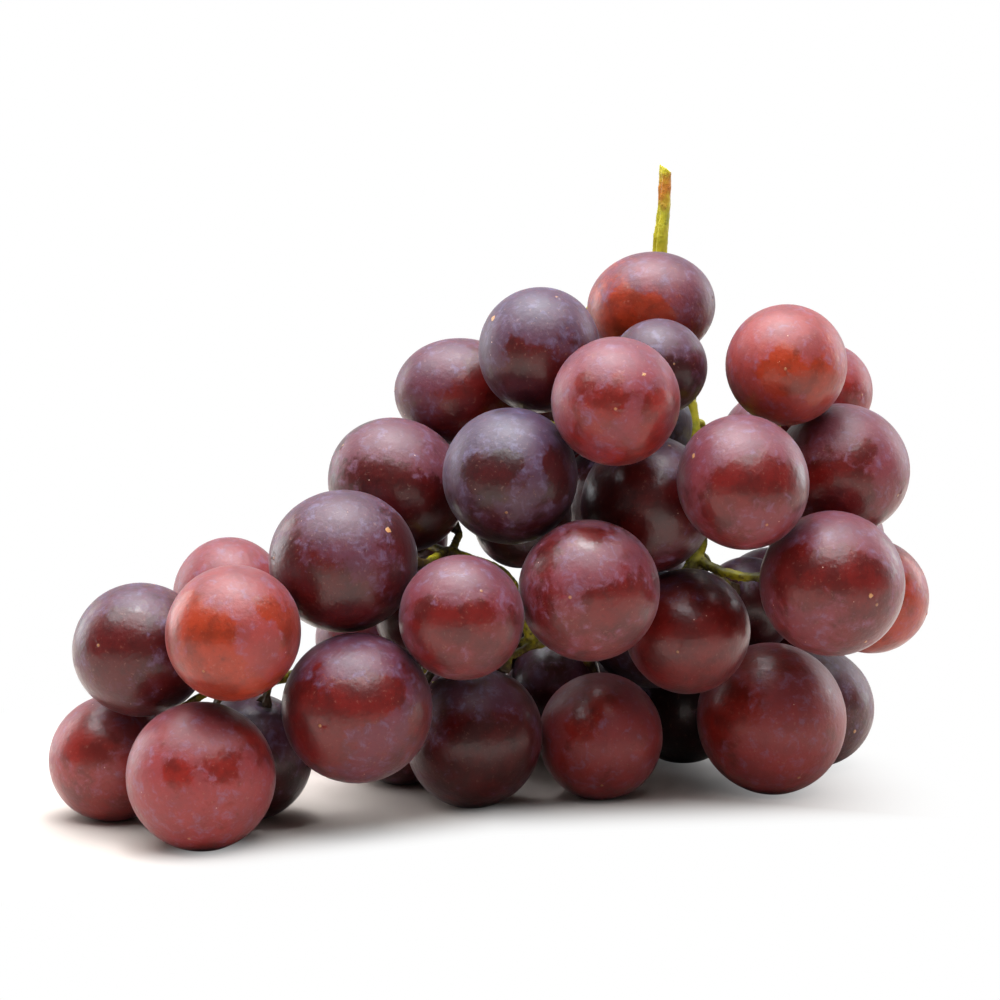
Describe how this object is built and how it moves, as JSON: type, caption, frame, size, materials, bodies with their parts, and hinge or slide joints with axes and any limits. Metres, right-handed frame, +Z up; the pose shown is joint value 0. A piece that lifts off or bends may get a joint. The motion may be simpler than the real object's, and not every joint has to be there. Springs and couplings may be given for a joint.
{
  "type": "bunch of grapes",
  "caption": "Bunch of round red table grapes on a branched green stalk, lying on its side with the cut stem standing up.",
  "frame": {"origin": "on the table, under the middle of the bunch's bounding box", "axes": "+X along the bunch from its tip to its thick end, +Y from the viewer to the far side, +Z up from the table"},
  "size_m": [0.163, 0.131, 0.1189],
  "materials": {
    "red_skin": "satin",
    "wine_skin": "satin",
    "dark_skin": "satin",
    "stalk": "matte"
  },
  "bodies": {
    "root": {"stalk": "stalk", "berry_01": "red_skin", "berry_02": "dark_skin", "berry_03": "red_skin", "berry_04": "red_skin", "berry_05": "red_skin", "berry_06": "wine_skin", "berry_07": "wine_skin", "berry_08": "dark_skin", "berry_09": "wine_skin", "berry_10": "wine_skin", "berry_11": "dark_skin", "berry_12": "dark_skin", "berry_13": "red_skin", "berry_14": "dark_skin", "berry_15": "red_skin", "berry_16": "red_skin", "berry_17": "red_skin", "berry_18": "wine_skin", "berry_19": "wine_skin", "berry_20": "wine_skin", "berry_21": "red_skin", "berry_22": "wine_skin", "berry_23": "wine_skin", "berry_24": "wine_skin", "berry_25": "wine_skin", "berry_26": "red_skin", "berry_27": "dark_skin", "berry_28": "wine_skin", "berry_29": "dark_skin", "berry_30": "dark_skin", "berry_31": "dark_skin", "berry_32": "dark_skin", "berry_33": "wine_skin", "berry_34": "dark_skin", "berry_35": "wine_skin", "berry_36": "dark_skin", "berry_37": "wine_skin", "berry_38": "dark_skin", "berry_39": "wine_skin", "berry_40": "dark_skin", "berry_41": "wine_skin", "berry_42": "wine_skin", "berry_43": "wine_skin", "berry_44": "red_skin", "berry_45": "wine_skin", "berry_46": "dark_skin", "berry_47": "wine_skin", "berry_48": "dark_skin", "berry_49": "wine_skin", "berry_50": "wine_skin", "berry_51": "red_skin", "berry_52": "wine_skin", "berry_53": "wine_skin", "berry_54": "red_skin", "berry_55": "dark_skin"}
  },
  "joints": []
}
